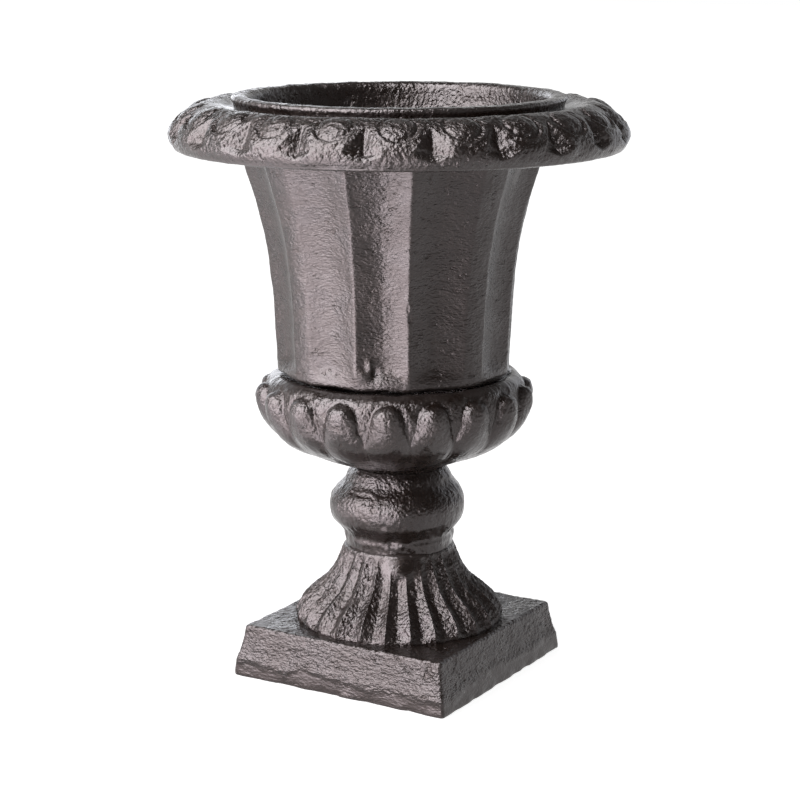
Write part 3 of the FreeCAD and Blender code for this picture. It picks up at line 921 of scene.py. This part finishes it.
def zinc_material():
    """Bright zinc plating, a little clouded and scratched by the spanner."""
    material = empty_material("zinc_plating")
    tree = material.node_tree
    place = add_node(tree, "ShaderNodeTexCoord").outputs["Object"]
    clouds = noise(tree, place, 260.0, 3.0, 0.6)
    squeezed = add_node(tree, "ShaderNodeMapping", {"Vector": place, "Scale": (1, 1, 14)}).outputs[0]
    scratches = noise(tree, squeezed, 900.0)
    colour = mixed_colour(tree, clouds, ZINC_DULL, ZINC_BRIGHT)
    roughness = math_node(tree, "MULTIPLY_ADD", scratches, 0.2, 0.24)
    bump = add_node(tree, "ShaderNodeBump", {"Height": scratches, "Strength": 0.4, "Distance": 0.02 * MM})
    shader = add_node(tree, "ShaderNodeBsdfPrincipled", {
        "Base Color": colour, "Metallic": 1.0, "Roughness": roughness, "Normal": bump.outputs["Normal"]})
    add_node(tree, "ShaderNodeOutputMaterial", {"Surface": shader.outputs[0]})
    return material


zinc = zinc_material()

# %% [markdown]
# ## Assembly
#
# Each piece rides on the urn, and the solid that it stands for is hidden.

# %% assembly
PIECES = (
    (rim, "bowl", rim_coat), (collar, "bowl", rim_coat), (body, "bowl", body_coat), (base, "bowl", base_coat),
    (stem, "pedestal", base_coat), (foot, "pedestal", foot_coat), (plinth, "pedestal", plinth_coat),
    (bolt, "bolt", zinc), (nut, "nut", zinc), (washer_bowl, "washer_bowl", zinc),
    (washer_pedestal, "washer_pedestal", zinc))
for piece, node, material in PIECES:
    piece.data.materials.append(material)
    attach(piece, BODY)
    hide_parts(node)
print("pieces:", [piece.name for piece, _, _ in PIECES])

# %% [markdown]
# ## Floor and light
#
# A white floor and one large soft lamp on the left, in a room of plain grey light. The rays that the
# urn's gloss mirrors see another room: white at the horizon and darker above it, with the backdrop's
# light reaching higher behind. The camera sees pure white. The gloss doesn't see the lamp, because the
# reflector cards further down stand for all that the urn mirrors on that side.

# %% floor
PURE_WHITE = (1, 1, 1, 1)
FLOOR_HALF = 6.0
FLOOR_CORNERS = ((-1, -1), (1, -1), (1, 1), (-1, 1))
FLOOR_PAINT = (0.8, 0.8, 0.8, 1)
FLOOR_GLOW = 0.78
floor_mesh = bpy.data.meshes.new("floor")
floor_points = [(x * FLOOR_HALF, y * FLOOR_HALF, 0) for x, y in FLOOR_CORNERS]
floor_mesh.from_pydata(floor_points, [], [(0, 1, 2, 3)])
floor = bpy.data.objects.new("floor", floor_mesh)
bpy.context.scene.collection.objects.link(floor)


def background_rays(tree):
    """1 for rays that show the background: from the camera, or mirrored or refracted by the object."""
    path = add_node(tree, "ShaderNodeLightPath").outputs
    shown = math_node(tree, "ADD", path["Is Camera Ray"], path["Is Glossy Ray"])
    return math_node(tree, "MINIMUM", math_node(tree, "ADD", shown, path["Is Transmission Ray"]), 1.0)


floor_paint = empty_material("floor_paint")
floor_tree = floor_paint.node_tree
floor_diffuse = add_node(floor_tree, "ShaderNodeBsdfDiffuse", {"Color": FLOOR_PAINT})
floor_strength = math_node(floor_tree, "MULTIPLY", background_rays(floor_tree), FLOOR_GLOW)
floor_glow = add_node(floor_tree, "ShaderNodeEmission", {"Color": PURE_WHITE, "Strength": floor_strength})
floor_both = add_node(floor_tree, "ShaderNodeAddShader",
                      {0: floor_diffuse.outputs[0], 1: floor_glow.outputs[0]})
add_node(floor_tree, "ShaderNodeOutputMaterial", {"Surface": floor_both.outputs[0]})
floor_mesh.materials.append(floor_paint)

# %% room
ROOM_LIGHT = 0.4             # strength for the light on the urn's colour
CEILING = 0.12               # strength that the gloss sees overhead
CEILING_FROM = (0.0, 0.35)   # heights of a direction over which the gloss's room falls to the ceiling
BACKDROP_LIFT = -0.3         # lowers those heights behind the urn, so that the backdrop reaches higher
world = bpy.data.worlds.new("studio")
bpy.context.scene.world = world
world.use_nodes = True
room = world.node_tree
room.nodes.clear()
rays = add_node(room, "ShaderNodeLightPath").outputs
direction = add_node(room, "ShaderNodeTexCoord").outputs["Generated"]
upward = add_node(room, "ShaderNodeSeparateXYZ", {"Vector": direction}).outputs["Z"]
away = (-math.cos(math.radians(CAMERA_POLAR)), -math.sin(math.radians(CAMERA_POLAR)), 0.0)
from_camera = add_node(room, "ShaderNodeVectorMath", {0: direction, 1: away}, operation="DOT_PRODUCT")
height_in_room = math_node(room, "MULTIPLY_ADD", from_camera.outputs["Value"], BACKDROP_LIFT, upward)
mirrored = eased(room, height_in_room, *CEILING_FROM, 1.0, CEILING)
others = eased(room, rays["Is Diffuse Ray"], 0.0, 1.0, mirrored, ROOM_LIGHT)
strength = math_node(room, "MAXIMUM", others, rays["Is Camera Ray"])
background = add_node(room, "ShaderNodeBackground", {"Color": PURE_WHITE, "Strength": strength})
add_node(room, "ShaderNodeOutputWorld", {"Surface": background.outputs[0]})
print("room:", ROOM_LIGHT, "for colour,", CEILING, "overhead for gloss")


# %% lamp
LILAC = (1.0, 0.93, 0.96)
PALE = (1.0, 0.98, 0.99)
COLD = (0.93, 0.95, 1.0)
AIM = (0, 0, 0.13)


def place_round(bearing, distance, height):
    """A place at a bearing to the right of the camera's side, seen from above the urn."""
    turn = math.radians(CAMERA_POLAR + bearing)
    return distance * math.cos(turn), distance * math.sin(turn), height


def add_lamp(name, bearing, distance, height, width, tall, radiance, colour):
    """Rectangular lamp that faces the urn. Its power is radiance x pi x area. The gloss doesn't see it."""
    lamp = bpy.data.lights.new(name, "AREA")
    lamp.shape = "RECTANGLE"
    lamp.size = width
    lamp.size_y = tall
    lamp.color = colour
    lamp.energy = radiance * math.pi * width * tall
    holder = bpy.data.objects.new(name, lamp)
    bpy.context.scene.collection.objects.link(holder)
    place = place_round(bearing, distance, height)
    from_aim = np.array(place) - np.array(AIM)
    tilt = math.atan2(math.hypot(from_aim[0], from_aim[1]), from_aim[2])
    holder.location = place
    holder.rotation_euler = (tilt, 0, math.atan2(from_aim[1], from_aim[0]) + math.pi / 2)
    holder.visible_glossy = False


add_lamp("softbox_left", bearing=-60, distance=1.4, height=0.9, width=0.9, tall=0.9, radiance=5.0,
         colour=LILAC)

# %% [markdown]
# ## Reflector cards
#
# The coat mirrors only about a twentieth of what stands before it, so its sheen needs things much
# brighter than white, such as lamps and their reflectors. The cards stand where the highlights of the
# photograph ask for them. Only the gloss sees them, and they add nothing to the light on the colour.

# %% reflector cards
CARD_FACES = 16
SIDE_RADIUS = 0.62
NEAR_RADIUS = 0.12
TABLE_RADIUS = 0.13
BACK_RADIUS = 0.9
OVER_TABLE = 0.002


def add_card(name, bearings, radii, heights, radiance, colour):
    """Bent card round the urn, between two bearings, from one radius and height to another."""
    turns = np.radians(CAMERA_POLAR + np.linspace(*bearings, CARD_FACES + 1))
    points = [(radius * math.cos(turn), radius * math.sin(turn), height)
              for radius, height in zip(radii, heights) for turn in turns]
    faces = [(i, i + 1, i + CARD_FACES + 2, i + CARD_FACES + 1) for i in range(CARD_FACES)]
    mesh = bpy.data.meshes.new(name)
    mesh.from_pydata(points, [], faces)
    card = bpy.data.objects.new(name, mesh)
    bpy.context.scene.collection.objects.link(card)
    card.visible_camera = False
    card.visible_diffuse = False
    card.visible_shadow = False
    glow = empty_material(name)
    lit = add_node(glow.node_tree, "ShaderNodeEmission", {"Color": (*colour, 1), "Strength": radiance})
    add_node(glow.node_tree, "ShaderNodeOutputMaterial", {"Surface": lit.outputs[0]})
    mesh.materials.append(glow)


CARDS = (
    ("card_low_left", (-88, -26), (SIDE_RADIUS, SIDE_RADIUS), (0.0, 0.30), 13.0, LILAC),
    ("card_left", (-92, -22), (SIDE_RADIUS, SIDE_RADIUS), (0.30, 0.85), 12.5, PALE),
    ("card_above", (-100, -8), (SIDE_RADIUS, NEAR_RADIUS), (0.85, 1.1), 14.0, PALE),
    ("card_table_front", (-50, -9), (TABLE_RADIUS, SIDE_RADIUS), (OVER_TABLE, OVER_TABLE), 8.3, LILAC),
    ("card_table_left", (-105, -50), (TABLE_RADIUS, SIDE_RADIUS), (OVER_TABLE, OVER_TABLE), 3.4, LILAC),
    ("card_back_left", (-178, -146), (BACK_RADIUS, BACK_RADIUS), (0.05, 0.5), 3.2, COLD),
    ("card_back_right", (125, 160), (BACK_RADIUS, BACK_RADIUS), (0.02, 0.5), 1.2, COLD))
for card_values in CARDS:
    add_card(*card_values)
print("cards:", [values[0] for values in CARDS])

# %% [markdown]
# ## Camera
#
# The viewpoint was fitted to the photograph from the plinth's corners and the rings of the urn.

# %% camera
PHOTO_PIXELS = 800
FOCAL_PIXELS = 2180.6
CENTRE_SHIFT_PIXELS = -0.8
SENSOR = 36.0
CAMERA_DISTANCE = 0.88102
CAMERA_HEIGHT = 0.31276
CAMERA_DIP = 12.735
camera_data = bpy.data.cameras.new("camera")
camera_data.sensor_width = SENSOR
camera_data.lens = FOCAL_PIXELS / PHOTO_PIXELS * SENSOR
camera_data.shift_x = -CENTRE_SHIFT_PIXELS / PHOTO_PIXELS
camera = bpy.data.objects.new("camera", camera_data)
bpy.context.scene.collection.objects.link(camera)
camera.location = place_round(0, CAMERA_DISTANCE, CAMERA_HEIGHT)
camera.rotation_euler = (math.radians(90 - CAMERA_DIP), 0, math.radians(CAMERA_POLAR + 90))
bpy.context.scene.camera = camera
bpy.context.scene.view_settings.view_transform = "Standard"
print("lens", round(camera_data.lens, 2), "mm")
